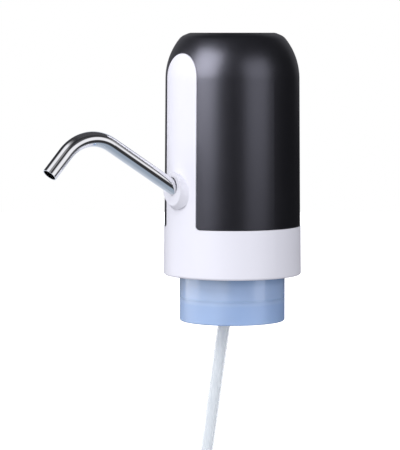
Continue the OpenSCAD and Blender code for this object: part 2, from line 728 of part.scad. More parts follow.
module on_pivot() {
    translate([0, 0, pivot_z]) rotate([-tilt, 0, 0]) children();
}

module wobble_plate() color([0.88, 0.86, 0.8]) on_pivot() difference() {
    union() {
        translate([0, 0, -arm_t / 2]) cylinder(h = arm_t / 2 + hub_h, r = hub_r);
        for (a = cup_angles) rotate([0, 0, a]) {
            translate([0, -1.4, -arm_t / 2]) cube([cup_ring, 2.8, arm_t]);
            translate([cup_ring, 0, -arm_t / 2]) cylinder(h = arm_t, r = 2.2);
        }
    }
    for (a = cup_angles) rotate([0, 0, a]) translate([cup_ring, 0, -5]) cylinder(h = 10, r = stem_r + 0.25);
    translate([0, 0, -5]) cylinder(h = 10, r = wobble_pin_r + 0.02);
}

module wobble_pin() color(steel) on_pivot()
    translate([0, 0, -arm_t / 2]) cylinder(h = wobble_pin_l + arm_t / 2, r = wobble_pin_r);

module eccentric() color([0.3, 0.3, 0.32]) difference() {
    translate([0, 0, ecc_z]) cylinder(h = ecc_top - ecc_z, r = ecc_r);
    on_pivot() cylinder(h = wobble_pin_l + 0.2, r = wobble_pin_r + pin_gap);
    translate([0, 0, shaft_end - 0.2]) cylinder(h = 20, r = shaft_r + 0.01);
}

module crank_housing() color([0.25, 0.25, 0.27]) difference() {
    union() {
        translate([0, 0, crank_z]) difference() {
            cylinder(h = crank_h, r = pump_r);
            translate([0, 0, -1]) cylinder(h = crank_h - crank_roof + 1, r = pump_r - crank_wall);
        }
        intersection() {
            ring_at(pump_screw_ring, pump_screw_angles) translate([0, 0, crank_z]) cylinder(h = 10, r = 2.1);
            translate([0, 0, crank_z]) cylinder(h = 10, r = pump_r);
        }
    }
    ring_at(pump_screw_ring, pump_screw_angles)
        translate([0, 0, crank_z - 1]) cylinder(h = 10, r = m2_r + pin_gap);
    translate([0, 0, motor_z - 5]) cylinder(h = 10, r = motor_boss_r + fit_gap);
    ring_at(motor_screw_ring, [0, 180]) translate([0, 0, motor_z - 5]) cylinder(h = 10, r = m2_r + 0.15);
}

module pump_screws() color(steel)
    ring_at(pump_screw_ring, pump_screw_angles) translate([0, 0, man_z])
        screw(m2_r, crank_z - man_z + 8, m2_head_r, m2_head_h);

module motor_screws() color(steel)
    ring_at(motor_screw_ring, [0, 180]) translate([0, 0, motor_z - crank_roof])
        screw(m2_r, crank_roof + 2.4, m2_head_r, m2_head_h);

module motor_can() color(steel) difference() {
    union() {
        translate([0, 0, motor_z]) cylinder(h = motor_l, r = motor_r);
        translate([0, 0, motor_z - motor_boss_h]) cylinder(h = motor_boss_h + 0.2, r = motor_boss_r);
    }
    translate([0, 0, motor_z + can_t]) cylinder(h = motor_l, r = motor_r - can_t);
    translate([0, 0, motor_z - 5]) cylinder(h = 10, r = bush_r + 0.02);
    ring_at(motor_screw_ring, [0, 180]) translate([0, 0, motor_z - 1]) cylinder(h = 5, r = m2_r + pin_gap);
}

module motor_magnets() color(rubber) translate([0, 0, magnet_z]) difference() {
    pipe(motor_r - can_t - 0.02, motor_r - can_t - magnet_t, magnet_l);
    translate([-motor_r, -magnet_split / 2, -1]) cube([motor_d, magnet_split, magnet_l + 2]);
}

module motor_bushes() color(brass) {
    translate([0, 0, motor_z - motor_boss_h]) pipe(bush_r, shaft_r + pin_gap, motor_boss_h + bush_l);
    translate([0, 0, motor_z + motor_l - cap_in]) pipe(bush_r, shaft_r + pin_gap, cap_in + cap_out);
}

module motor_shaft() color(steel) translate([0, 0, shaft_end])
    cylinder(h = motor_z + motor_l + cap_out - 0.4 - shaft_end, r = shaft_r);

module armature() color(copper) translate([0, 0, armature_z]) difference() {
    union() {
        translate([0, 0, winding_l]) cylinder(h = armature_l - 2 * winding_l, r = core_r);
        cylinder(h = armature_l, r = core_r - winding_in);
    }
    for (a = [60, 180, 300]) rotate([0, 0, a]) {
        translate([core_r - winding_in - 0.2, -core_slot / 2, -1]) cube([motor_r, core_slot, armature_l + 2]);
        translate([core_r - winding_in - 1.4, 0, -1]) cylinder(h = armature_l + 2, r = core_slot + 0.2);
    }
    translate([0, 0, -1]) cylinder(h = armature_l + 2, r = shaft_r + 0.01);
}

module commutator() color(copper) translate([0, 0, commutator_z]) difference() {
    cylinder(h = commutator_l, r = commutator_r);
    for (a = [0, 60, 120]) rotate([0, 0, a])
        translate([-commutator_r - 1, -commutator_slit / 2, -1])
            cube([2 * commutator_r + 2, commutator_slit, commutator_l + 2]);
    translate([0, 0, -1]) cylinder(h = commutator_l + 2, r = shaft_r + 0.8);
}

module motor_end_cap() color([0.92, 0.92, 0.9]) difference() {
    union() {
        translate([0, 0, motor_z + motor_l - cap_in]) cylinder(h = cap_in + 0.2, r = motor_r - can_t - 0.05);
        translate([0, 0, motor_z + motor_l]) cylinder(h = cap_out, r = motor_r);
    }
    translate([0, 0, motor_z + motor_l - 10]) cylinder(h = 20, r = bush_r + 0.02);
    for (y = [-1, 1]) translate([-1.3, y * terminal_y - 0.35, motor_z + motor_l - 10]) cube([2.6, 0.7, 20]);
}

module brush_terminals() color(brass) for (y = [-1, 1])
    translate([-1.2, y * terminal_y - 0.3, motor_z + motor_l - cap_in - 1])
        cube([2.4, 0.6, terminal_top - motor_z - motor_l + cap_in + 1]);

// from the manifold's lift nozzle up and forwards onto the spout's socket
module outlet_hose() color(silicone) {
    low = [0, -outlet_s, man_z + lug_h + 0.3];
    mid = [0, -outlet_s, man_z + lug_h + lift_h];
    out = [0, -cos(spout_slope), sin(spout_slope)];
    face = [0, -boss_s, spout_z];
    high = face - out * (socket_in + 0.2);
    end = face - out * (socket_in + barb_l - 0.2);
    way = curve(mid, mid + [0, 0, hose_d], end - out * 6, end, 8);
    tube(concat([low], way, [high]), hose_r, hose_bore_r, hose_sides);
}

module inner_frame() color([0.86, 0.87, 0.88]) difference() {
    union() {
        translate([0, 0, deck_z]) cylinder(h = deck_t, r = deck_r);
        ring_at(leg_ring, leg_angles)
            translate([0, 0, plate_top]) cylinder(h = deck_z - plate_top + 0.2, r = leg_r);
        translate([0, 0, deck_z]) cylinder(h = 15, r = ring_in + ring_wall);
        intersection() {
            translate([cell_x, cell_y, deck_z]) cylinder(h = cradle_h, r = cell_r + fit_gap + cradle_t);
            rotate([0, 0, cell_angle]) translate([0, -20, deck_z]) cube([cell_ring + 3, 40, cradle_h]);
        }
        for (x = [-1, 1]) translate([x * (charge_w / 2 + 0.3) - 1.7, charge_y - board_t - 1.6, deck_z])
            cube([3.4, board_t + 3.2, 18]);
    }
    translate([0, 0, deck_z - 5]) cylinder(h = 60, r = ring_in);
    translate([cell_x, cell_y, deck_top]) cylinder(h = 80, r = cell_r + fit_gap);
    translate([-charge_w / 2 - fit_gap, charge_y - board_t - fit_gap, deck_top])
        cube([charge_w + 2 * fit_gap, board_t + 2 * fit_gap, 40]);
    translate([-14, -40, deck_z - 5]) cube([28, 34, 60]);
    ring_at(leg_ring, leg_angles)
        translate([0, 0, plate_top - 1]) cylinder(h = tap_l + 1, r = tap_r + pin_gap);
}

module battery_cell() color([0.25, 0.5, 0.75])
    translate([cell_x, cell_y, deck_top]) cylinder(h = cell_l, r = cell_r);

module cell_cap() color(board_green)
    translate([cell_x, cell_y, deck_top + cell_l]) cylinder(h = cell_cap_h, r = cell_r - cell_cap_inset);

module charge_board() color(board_green)
    translate([-charge_w / 2, charge_y - board_t, deck_top]) cube([charge_w, board_t, charge_h]);

module usb_socket() color(steel) translate([0, charge_y, usb_z]) difference() {
    translate([-usb_w / 2, 0, -usb_h / 2]) cube([usb_w, usb_l, usb_h]);
    difference() {
        translate([-usb_w / 2 + 0.35, 0.8, -usb_h / 2 + 0.35]) cube([usb_w - 0.7, usb_l, usb_h - 0.7]);
        translate([-1.8, 0, -0.35]) cube([3.6, usb_l - 1, 0.7]);
    }
}

// lead between two points, upright at both ends and lead_gap short of them
module lead(a, b, r) {
    low = a + [0, 0, lead_gap];
    high = b - [0, 0, lead_gap];
    stub = [0, 0, lead_stub];
    rise = (high - low)[2] * 0.45;
    way = curve(low + stub, low + [0, 0, rise], high - [0, 0, rise], high - stub, 6);
    tube(concat([low], way, [high]), r, 0, 6);
}

module motor_leads() color([0.75, 0.15, 0.12]) for (y = [-1, 1])
    lead([0, y * terminal_y, terminal_top], [motor_lead_x, y * lead_apart, button_board_z], lead_r);

module battery_leads() color([0.75, 0.15, 0.12]) for (y = [-1, 1])
    lead([cell_x - lead_apart, cell_y + lead_apart * y, deck_top + cell_l + cell_cap_h],
        [battery_lead_x, cell_y + lead_apart * y, button_board_z], lead_r);

module charge_leads() color([0.15, 0.15, 0.16]) for (x = [-1, 1])
    lead([x * lead_apart, charge_y - board_t / 2, deck_top + charge_h],
        [x * lead_apart, charge_lead_y, button_board_z], lead_r - 0.1);

module suction_hose() color(silicone) tube(hang_route, hose_r, hose_bore_r, hose_sides);

module suction_hose_wound() color(silicone) tube(wind_route, hose_r, hose_bore_r, hose_sides);

tie_angle = 112;
tie_gap = 0.3;
tie_t = 0.8;
module tie_loop(r) {
    square([wind_step, 2 * r], center = true);
    for (x = [-1, 1]) translate([x * wind_step / 2, 0]) circle(r = r);
}
module hose_tie() color(black)
    translate(wind_point(tie_angle) + [wind_step / 2, 0, 0]) rotate([tie_angle - 90, 0, 0])
        translate([0, 0, -3.5]) linear_extrude(height = 7) difference() {
            union() {
                tie_loop(hose_r + tie_gap + tie_t);
                translate([-1, -hose_r - tie_gap - 2 * tie_t]) square([6, 2 * tie_t]);
            }
            tie_loop(hose_r + tie_gap);
        }

echo(hose_length = length_of(hang_route) + length_of(wind_route));
hang_part = [for (i = [0 : len(hang_route) - 5]) hang_route[i]];
wind_part = [for (i = [8 : len(wind_route) - 1]) wind_route[i]];
echo(wound_gap = self_gap(wind_route, 8) - hose_d, hang_to_wound = cross_gap(hang_part, wind_part) - hose_d);

top_cover();
main_body();
base_plate();
base_screws();
neck_adapter();
spout();
spout_seal();
power_button();
light_ring();
switch_plunger();
switch_case();
button_board();
board_screws();
indicator_leds();
inlet_seal();
pump_manifold();
valve_plate();
inlet_valves();
outlet_valves();
diaphragm();
wobble_plate();
wobble_pin();
eccentric();
crank_housing();
pump_screws();
motor_screws();
motor_can();
motor_magnets();
motor_bushes();
motor_shaft();
armature();
commutator();
motor_end_cap();
brush_terminals();
outlet_hose();
inner_frame();
frame_screws();
battery_cell();
cell_cap();
charge_board();
usb_socket();
motor_leads();
battery_leads();
charge_leads();
suction_hose();
suction_hose_wound();
hose_tie();
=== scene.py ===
import math

import bmesh
import bpy
from mathutils import Matrix, Vector


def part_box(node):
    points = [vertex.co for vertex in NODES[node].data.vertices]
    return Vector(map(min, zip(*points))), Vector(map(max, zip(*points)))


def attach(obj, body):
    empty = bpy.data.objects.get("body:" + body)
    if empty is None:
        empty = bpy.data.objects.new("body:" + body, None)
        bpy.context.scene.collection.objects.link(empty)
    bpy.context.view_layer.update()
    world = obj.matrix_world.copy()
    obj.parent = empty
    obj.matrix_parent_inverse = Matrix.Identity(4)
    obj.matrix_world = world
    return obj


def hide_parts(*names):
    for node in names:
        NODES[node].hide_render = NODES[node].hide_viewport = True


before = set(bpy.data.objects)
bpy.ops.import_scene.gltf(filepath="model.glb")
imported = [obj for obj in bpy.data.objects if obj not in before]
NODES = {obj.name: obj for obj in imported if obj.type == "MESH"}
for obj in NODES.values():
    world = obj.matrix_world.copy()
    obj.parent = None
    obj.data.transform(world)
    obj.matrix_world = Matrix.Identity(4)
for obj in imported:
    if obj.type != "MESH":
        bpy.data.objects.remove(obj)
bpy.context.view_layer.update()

MM = 0.001
scene = bpy.context.scene


def sind(a):
    return math.sin(math.radians(a))


def cosd(a):
    return math.cos(math.radians(a))


# camera, at the photograph's view
AZIMUTH, DISTANCE, EYE_Z = 52.35, 1.25, 0.1453
PICTURE_W, PICTURE_H, SENSOR = 400, 450, 36.0
FOCAL_PX, AXIS_PX, TOP_PX = 2294.0, 232.4, 32.7
CLIP_NEAR, CLIP_FAR = 0.05, 50


def make_camera():
    """A camera at the top's height, turned and tipped until the axis and the top lie as in the photograph."""
    data = bpy.data.cameras.new("camera")
    data.sensor_width = SENSOR
    data.lens = FOCAL_PX / PICTURE_H * SENSOR
    data.clip_start, data.clip_end = CLIP_NEAR, CLIP_FAR
    cam = bpy.data.objects.new("camera", data)
    scene.collection.objects.link(cam)
    yaw = math.atan2(AXIS_PX - PICTURE_W / 2, FOCAL_PX)
    pitch = math.atan2(PICTURE_H / 2 - TOP_PX, FOCAL_PX)
    to_axis = Vector((-sind(AZIMUTH), cosd(AZIMUTH), 0))
    level = Matrix.Rotation(yaw, 3, "Z") @ to_axis
    aim = level * math.cos(pitch) - Vector((0, 0, math.sin(pitch)))
    cam.location = (DISTANCE * sind(AZIMUTH), -DISTANCE * cosd(AZIMUTH), EYE_Z)
    cam.rotation_mode = "QUATERNION"
    cam.rotation_quaternion = aim.to_track_quat("-Z", "Y")
    scene.camera = cam


make_camera()


# node helpers
def new_material(name):
    m = bpy.data.materials.new(name)
    m.use_nodes = True
    return m, m.node_tree, m.node_tree.nodes["Principled BSDF"]


def on_object(tree):
    return tree.nodes.new("ShaderNodeTexCoord").outputs["Object"]


def coords(tree, scale=(1, 1, 1)):
    k = tree.nodes.new("ShaderNodeMapping")
    k.inputs["Scale"].default_value = scale
    tree.links.new(on_object(tree), k.inputs["Vector"])
    return k.outputs["Vector"]


def axes(tree, vector):
    sep = tree.nodes.new("ShaderNodeSeparateXYZ")
    tree.links.new(vector, sep.inputs[0])
    return sep.outputs


def vector_maths(tree, operation, vector, other=None):
    n = tree.nodes.new("ShaderNodeVectorMath")
    n.operation = operation
    tree.links.new(vector, n.inputs[0])
    if other is not None:
        n.inputs[1].default_value = other
    return n.outputs


def noise(tree, where, scale, detail=3.0, rough=0.5):
    n = tree.nodes.new("ShaderNodeTexNoise")
    n.inputs["Scale"].default_value = scale
    n.inputs["Detail"].default_value = detail
    n.inputs["Roughness"].default_value = rough
    tree.links.new(where, n.inputs["Vector"])
    return n.outputs["Fac"]


def ramp(tree, fac, stops):
    r = tree.nodes.new("ShaderNodeValToRGB")
    el = r.color_ramp.elements
    while len(el) < len(stops):
        el.new(0.5)
    for e, (pos, col) in zip(el, stops):
        e.position = pos
        e.color = (*col, 1)
    tree.links.new(fac, r.inputs["Fac"])
    return r.outputs["Color"]


def span(tree, fac, low, high, from_low=0.25, from_high=0.75):
    r = tree.nodes.new("ShaderNodeMapRange")
    r.inputs["From Min"].default_value = from_low
    r.inputs["From Max"].default_value = from_high
    r.inputs["To Min"].default_value = low
    r.inputs["To Max"].default_value = high
    tree.links.new(fac, r.inputs["Value"])
    return r.outputs["Result"]


def rise(tree, fac, low, high):
    return span(tree, fac, 0, 1, low, high)


def fall(tree, fac, low, high):
    return span(tree, fac, 1, 0, low, high)


def calculate(tree, operation, first, *others):
    for other in others:
        m = tree.nodes.new("ShaderNodeMath")
        m.operation = operation
        tree.links.new(first, m.inputs[0])
        tree.links.new(other, m.inputs[1])
        first = m.outputs[0]
    return first


def times(tree, *values):
    return calculate(tree, "MULTIPLY", *values)


def larger(tree, *values):
    return calculate(tree, "MAXIMUM", *values)


def plain(tree, colour):
    n = tree.nodes.new("ShaderNodeRGB")
    n.outputs[0].default_value = (*colour, 1)
    return n.outputs[0]


def mix_colours(tree, fac, a, b, blend="MIX"):
    m = tree.nodes.new("ShaderNodeMix")
    m.data_type = "RGBA"
    m.blend_type = blend
    m.inputs["Factor"].default_value = 1.0
    if fac is not None:
        tree.links.new(fac, m.inputs["Factor"])
    colours = [i for i in m.inputs if i.type == "RGBA"]
    tree.links.new(a, colours[0])
    tree.links.new(b, colours[1])
    return next(o for o in m.outputs if o.type == "RGBA")


def mix_shaders(tree, fac, a, b):
    m = tree.nodes.new("ShaderNodeMixShader")
    tree.links.new(fac, m.inputs["Fac"])
    tree.links.new(a, m.inputs[1])
    tree.links.new(b, m.inputs[2])
    return m.outputs[0]


def soft_edges(tree, radius, varied=None):
    """Normals that roll over the edges within a radius, which may vary over the surface."""
    e = tree.nodes.new("ShaderNodeBevel")
    e.samples = 8
    e.inputs["Radius"].default_value = radius
    if varied is not None:
        tree.links.new(varied, e.inputs["Radius"])
    return e.outputs["Normal"]


def bump(tree, shader, height, strength, depth, below=None):
    b = tree.nodes.new("ShaderNodeBump")
    b.inputs["Strength"].default_value = strength
    b.inputs["Distance"].default_value = depth
    tree.links.new(height, b.inputs["Height"])
    if below is not None:
        tree.links.new(below, b.inputs["Normal"])
    tree.links.new(b.outputs["Normal"], shader.inputs["Normal"])


# materials
BLOTCH_LOW, BLOTCH_HIGH = 0.3, 0.72


def moulded(name, dark, light, rough, grain, depth, blotch, strength, stretch=(1, 1, 1), edge=0.0,
            edge_from=None, **sockets):
    """A moulded, rubber or metal surface: slow colour variation, a fine grain and a roughness that varies."""
    m, tree, shader = new_material(name)
    where = coords(tree, stretch)
    slow = noise(tree, where, blotch, detail=4.0, rough=0.55)
    fine = noise(tree, where, grain, detail=2.0, rough=0.6)
    tree.links.new(ramp(tree, slow, [(BLOTCH_LOW, dark), (BLOTCH_HIGH, light)]), shader.inputs["Base Color"])
    tree.links.new(span(tree, slow, *rough), shader.inputs["Roughness"])
    below = None
    if edge > 0:
        below = soft_edges(tree, edge, edge_from(tree) if edge_from else None)
    bump(tree, shader, fine, strength, depth, below)
    for key, value in sockets.items():
        shader.inputs[key.replace("_", " ")].default_value = value
    return m


# the boss that carries the spout, as in the solids (mm)
SPOUT_SLOPE, BOSS_S, SPOUT_Z = 31.0, 40.879, 63.1
EDGE = 0.35 * MM
MOUTH_EDGE, RIM_EDGE = 0.1 * MM, 1.0 * MM
RIM_START, RIM_FULL, RIM_FADE, RIM_END = 6.0 * MM, 6.8 * MM, 10.5 * MM, 12.5 * MM


def boss_edge(tree):
    """Edge radius of the white body: wide round the boss that carries the spout, narrow elsewhere."""
    far = vector_maths(tree, "DISTANCE", on_object(tree), (0, -BOSS_S * MM, SPOUT_Z * MM))["Value"]
    rim = span(tree, far, MOUTH_EDGE, RIM_EDGE, RIM_START, RIM_FULL)
    beyond = span(tree, far, 0, EDGE - RIM_EDGE, RIM_FADE, RIM_END)
    return calculate(tree, "ADD", rim, beyond)


LAVENDER = (0.86, 0.86, 1.0, 1)
black_cover = moulded("satin_black", (0.003, 0.003, 0.0038), (0.0042, 0.0042, 0.0052), rough=(0.345, 0.365),
                      grain=5200, depth=0.00003, blotch=45, strength=0.2, edge=EDGE,
                      Specular_Tint=LAVENDER, Specular_IOR_Level=0.95, IOR=1.6)
black_button = moulded("button_black", (0.009, 0.009, 0.01), (0.014, 0.014, 0.0155), rough=(0.38, 0.48),
                       grain=4600, depth=0.00003, blotch=80, strength=0.25, edge=0.3 * MM)
white_body = moulded("gloss_white", (0.785, 0.785, 0.832), (0.8, 0.8, 0.846), rough=(0.36, 0.39),
                     grain=1500, depth=0.00002, blotch=35, strength=0.1, edge=EDGE, edge_from=boss_edge,
                     Specular_IOR_Level=0.3)
steel_spout = moulded("polished_steel", (0.80, 0.80, 0.815), (0.86, 0.86, 0.87), rough=(0.05, 0.08),
                      grain=900, depth=0.00001, blotch=180, strength=0.04, Metallic=1.0)
steel_screw = moulded("zinc_screw", (0.52, 0.52, 0.54), (0.7, 0.7, 0.72), rough=(0.22, 0.38),
                      grain=3000, depth=0.00002, blotch=400, strength=0.2, Metallic=1.0)
steel_motor = moulded("plated_can", (0.5, 0.5, 0.52), (0.66, 0.66, 0.68), rough=(0.25, 0.42),
                      grain=1800, depth=0.00003, blotch=150, strength=0.2, stretch=(1, 1, 0.08), Metallic=1.0)
brass_metal = moulded("brass", (0.62, 0.44, 0.16), (0.8, 0.62, 0.3), rough=(0.2, 0.36),
                      grain=2500, depth=0.00002, blotch=300, strength=0.2, Metallic=1.0)
copper_wire = moulded("copper_winding", (0.5, 0.2, 0.09), (0.78, 0.4, 0.22), rough=(0.25, 0.4),
                      grain=1400, depth=0.0001, blotch=600, strength=0.5, stretch=(1, 1, 0.15), Metallic=1.0)
ferrite = moulded("ferrite", (0.05, 0.05, 0.055), (0.11, 0.11, 0.115), rough=(0.55, 0.75),
                  grain=2500, depth=0.00008, blotch=300, strength=0.5)
rubber_black = moulded("seal_rubber", (0.03, 0.03, 0.032), (0.055, 0.055, 0.058), rough=(0.5, 0.68),
                       grain=3000, depth=0.00005, blotch=250, strength=0.35)
rubber_grey = moulded("diaphragm_rubber", (0.06, 0.06, 0.065), (0.1, 0.1, 0.105), rough=(0.45, 0.6),
                      grain=2600, depth=0.00005, blotch=200, strength=0.35)
plastic_pale = moulded("pale_plastic", (0.68, 0.68, 0.65), (0.78, 0.78, 0.75), rough=(0.4, 0.55),
                       grain=2600, depth=0.00004, blotch=120, strength=0.25)
plastic_dark = moulded("dark_plastic", (0.035, 0.035, 0.04), (0.065, 0.065, 0.07), rough=(0.42, 0.58),
                       grain=2600, depth=0.00004, blotch=140, strength=0.25)
plastic_frame = moulded("frame_plastic", (0.7, 0.71, 0.72), (0.8, 0.81, 0.82), rough=(0.42, 0.55),
                        grain=2400, depth=0.00004, blotch=100, strength=0.25)
switch_red = moulded("switch_key", (0.4, 0.05, 0.035), (0.56, 0.09, 0.06), rough=(0.35, 0.5),
                     grain=2600, depth=0.00003, blotch=300, strength=0.2)
led_dome = moulded("led_lens", (0.82, 0.86, 0.9), (0.95, 0.97, 1.0), rough=(0.08, 0.2),
                   grain=1500, depth=0.00002, blotch=500, strength=0.1, Transmission_Weight=0.4, IOR=1.5)
cell_wrap = moulded("cell_wrap", (0.03, 0.15, 0.36), (0.06, 0.24, 0.5), rough=(0.12, 0.26),
                    grain=700, depth=0.00006, blotch=90, strength=0.2, Coat_Weight=0.3)
lead_red = moulded("red_lead", (0.45, 0.02, 0.018), (0.62, 0.045, 0.035), rough=(0.32, 0.48),
                   grain=2200, depth=0.00004, blotch=350, strength=0.25)
lead_black = moulded("black_lead", (0.018, 0.018, 0.02), (0.04, 0.04, 0.043), rough=(0.35, 0.5),
                     grain=2200, depth=0.00004, blotch=350, strength=0.25)
frosted_ring = moulded("frosted_ring", (0.66, 0.72, 0.8), (0.76, 0.82, 0.9), rough=(0.3, 0.42),
                       grain=1800, depth=0.00003, blotch=200, strength=0.15, edge=0.2 * MM,
                       Transmission_Weight=0.3, IOR=1.49)
hose_clear = moulded("milky_silicone", (0.7, 0.76, 0.79), (0.77, 0.82, 0.845), rough=(0.16, 0.22),
                     grain=1200, depth=0.00003, blotch=120, strength=0.1,
                     Specular_IOR_Level=0.9, IOR=1.41, Alpha=0.42)

# colours of the sleeve by height (mm); the darkest, at the top of the wall, is a painted shadow under the
# body
SKIRT, STEP, LINE = (0.375, 0.542, 0.825), (0.43, 0.588, 0.85), (0.38, 0.535, 0.785)
WALL, WALL_TOP_SHADOW = (0.45, 0.605, 0.865), (0.335, 0.485, 0.72)
SLEEVE_COLOURS = [(-11.5, SKIRT), (-1.6, SKIRT), (-0.7, STEP), (0.3, STEP), (0.8, LINE), (1.2, LINE),
                  (1.7, STEP), (3.0, WALL), (9.0, WALL), (13.0, WALL_TOP_SHADOW)]
SLEEVE_LOW, SLEEVE_HIGH = -12 * MM, 14 * MM
SKIRT_ROUGH, WALL_ROUGH = 0.38, 0.22


def adapter_material():
    """Frosted pale blue plastic; the seat ring inside shows through as a pale step with a darker line. The
    top of the wall is darker, a painted shadow under the body.
    """
    m, tree, shader = new_material("frosted_adapter")
    where = coords(tree)
    z = axes(tree, on_object(tree))["Z"]
    stops = [((h * MM - SLEEVE_LOW) / (SLEEVE_HIGH - SLEEVE_LOW), col) for h, col in SLEEVE_COLOURS]
    # the ramp's top stop is painted shade where the body overhangs the sleeve
    graded = ramp(tree, rise(tree, z, SLEEVE_LOW, SLEEVE_HIGH), stops)
    cloud = ramp(tree, noise(tree, where, 40), [(0.3, (0.93, 0.94, 0.96)), (0.7, (1.0, 1.0, 1.0))])
    tree.links.new(mix_colours(tree, None, graded, cloud, "MULTIPLY"), shader.inputs["Base Color"])
    tree.links.new(span(tree, z, SKIRT_ROUGH, WALL_ROUGH, -1 * MM, 2.5 * MM), shader.inputs["Roughness"])
    shader.inputs["Specular IOR Level"].default_value = 0.9
    shader.inputs["Transmission Weight"].default_value = 0.22
    shader.inputs["IOR"].default_value = 1.49
    fine = noise(tree, where, 1300, detail=2.0, rough=0.6)
    bump(tree, shader, fine, 0.1, 0.00003, soft_edges(tree, 0.3 * MM))
    return m


def board_material():
    """Green solder mask with the raised tracks of the copper under it."""
    m, tree, shader = new_material("circuit_board")
    where = coords(tree)
    brick = tree.nodes.new("ShaderNodeTexBrick")
    brick.inputs["Scale"].default_value = 420
    brick.inputs["Mortar Size"].default_value = 0.06
    brick.inputs["Color1"].default_value = (0.012, 0.09, 0.045, 1)
    brick.inputs["Color2"].default_value = (0.016, 0.11, 0.055, 1)
    brick.inputs["Mortar"].default_value = (0.03, 0.2, 0.1, 1)
    tree.links.new(where, brick.inputs["Vector"])
    tree.links.new(brick.outputs["Color"], shader.inputs["Base Color"])
    tree.links.new(span(tree, noise(tree, where, 300), 0.22, 0.36), shader.inputs["Roughness"])
    bump(tree, shader, brick.outputs["Fac"], 0.3, 0.00004)
    return m


def webbing_material():
    """Hook-and-loop strap: a fine woven ground."""
    m, tree, shader = new_material("strap_weave")
    where = coords(tree)
    threads = []
    for direction in ("X", "DIAGONAL"):
        w = tree.nodes.new("ShaderNodeTexWave")
        w.bands_direction = direction
        w.inputs["Scale"].default_value = 620
        w.inputs["Distortion"].default_value = 0.6
        tree.links.new(where, w.inputs["Vector"])
        threads.append(w.outputs["Fac"])
    weave = times(tree, *threads)
    tree.links.new(ramp(tree, weave, [(0.1, (0.006, 0.006, 0.007)), (0.8, (0.035, 0.035, 0.038))]),
                   shader.inputs["Base Color"])
    shader.inputs["Roughness"].default_value = 0.85
    shader.inputs["Sheen Weight"].default_value = 0.4
    bump(tree, shader, weave, 0.6, 0.00015)
    return m


adapter_clear = adapter_material()
board_green = board_material()
strap_weave = webbing_material()

LOOKS = {
    black_cover: ["top_cover"],
    black_button: ["power_button"],
    white_body: ["main_body", "base_plate"],
    adapter_clear: ["neck_adapter"],
    steel_spout: ["spout"],
    frosted_ring: ["light_ring"],
    rubber_black: ["spout_seal", "inlet_seal", "inlet_valves", "outlet_valves"],
    rubber_grey: ["diaphragm"],
    switch_red: ["switch_plunger"],
    plastic_dark: ["switch_case", "eccentric", "crank_housing"],
    board_green: ["button_board", "cell_cap", "charge_board"],
    steel_screw: ["base_screws", "board_screws", "pump_screws", "motor_screws", "frame_screws", "wobble_pin",
                  "motor_shaft", "usb_socket"],
    led_dome: ["indicator_leds"],
    plastic_pale: ["pump_manifold", "valve_plate", "wobble_plate", "motor_end_cap"],
    steel_motor: ["motor_can"],
    ferrite: ["motor_magnets"],
    brass_metal: ["motor_bushes", "brush_terminals"],
    copper_wire: ["armature", "commutator"],
    plastic_frame: ["inner_frame"],
    cell_wrap: ["battery_cell"],
}
for look, names in LOOKS.items():
    for name in names:
        mesh = NODES[name].data
        mesh.materials.clear()
        mesh.materials.append(look)


# tubes
CUT_EDGE = 0.12 * MM


def mesh_object(name, bm, material, smooth=True):
    mesh = bpy.data.meshes.new(name)
    bm.normal_update()
    bm.to_mesh(mesh)
    bm.free()
    if smooth:
        for p in mesh.polygons:
            p.use_smooth = True
    mesh.materials.append(material)
    o = bpy.data.objects.new(name, mesh)
    scene.collection.objects.link(o)
    return o


def smooth_path(points, steps):
    """Centripetal curve through the points, so the tube has no facets along its length."""
    p = [Vector(q) for q in points]
    p = [p[0] * 2 - p[1]] + p + [p[-1] * 2 - p[-2]]
    out = []
    for a, b, c, d in zip(p, p[1:], p[2:], p[3:]):
        t0 = 0.0
        t1 = t0 + max((b - a).length, 1e-9) ** 0.5
        t2 = t1 + max((c - b).length, 1e-9) ** 0.5
        t3 = t2 + max((d - c).length, 1e-9) ** 0.5
        for i in range(steps):
            t = t1 + (t2 - t1) * i / steps
            a1 = a * ((t1 - t) / (t1 - t0)) + b * ((t - t0) / (t1 - t0))
            a2 = b * ((t2 - t) / (t2 - t1)) + c * ((t - t1) / (t2 - t1))
            a3 = c * ((t3 - t) / (t3 - t2)) + d * ((t - t2) / (t3 - t2))
            b1 = a1 * ((t2 - t) / (t2 - t0)) + a2 * ((t - t0) / (t2 - t0))
            b2 = a2 * ((t3 - t) / (t3 - t1)) + a3 * ((t - t1) / (t3 - t1))
            out.append(b1 * ((t2 - t) / (t2 - t1)) + b2 * ((t - t1) / (t2 - t1)))
    out.append(p[-2])
    return out


def cubic(a, b, c, d, steps):
    a, b, c, d = (Vector(v) for v in (a, b, c, d))
    return [a * (1 - u) ** 3 + b * 3 * u * (1 - u) ** 2 + c * 3 * u * u * (1 - u) + d * u ** 3
            for u in (i / steps for i in range(steps + 1))]


def sweep(bm, path, radius, sides, flip=False):
    """Rings of verts along a path, carried along it without twist; returns the rings."""
    rings = []
    side = None
    for i, q in enumerate(path):
        t = (path[min(i + 1, len(path) - 1)] - path[max(i - 1, 0)]).normalized()
        if side is None:
            side = (Vector((1, 0, 0)) - t * t.x).normalized()
        side = (side - t * side.dot(t)).normalized()
        up = t.cross(side)
        rings.append([bm.verts.new(q + (side * math.cos(a) + up * math.sin(a)) * radius)
                      for a in (2 * math.pi * k / sides for k in range(sides))])
    for r, s in zip(rings, rings[1:]):
        for k in range(sides):
            m = (k + 1) % sides
            f = (r[k], r[m], s[m], s[k])
            bm.faces.new(f[::-1] if flip else f)
    return rings


def bridge(bm, r, s):
    n = len(r)
    for k in range(n):
        m = (k + 1) % n
        bm.faces.new((r[k], r[m], s[m], s[k]))


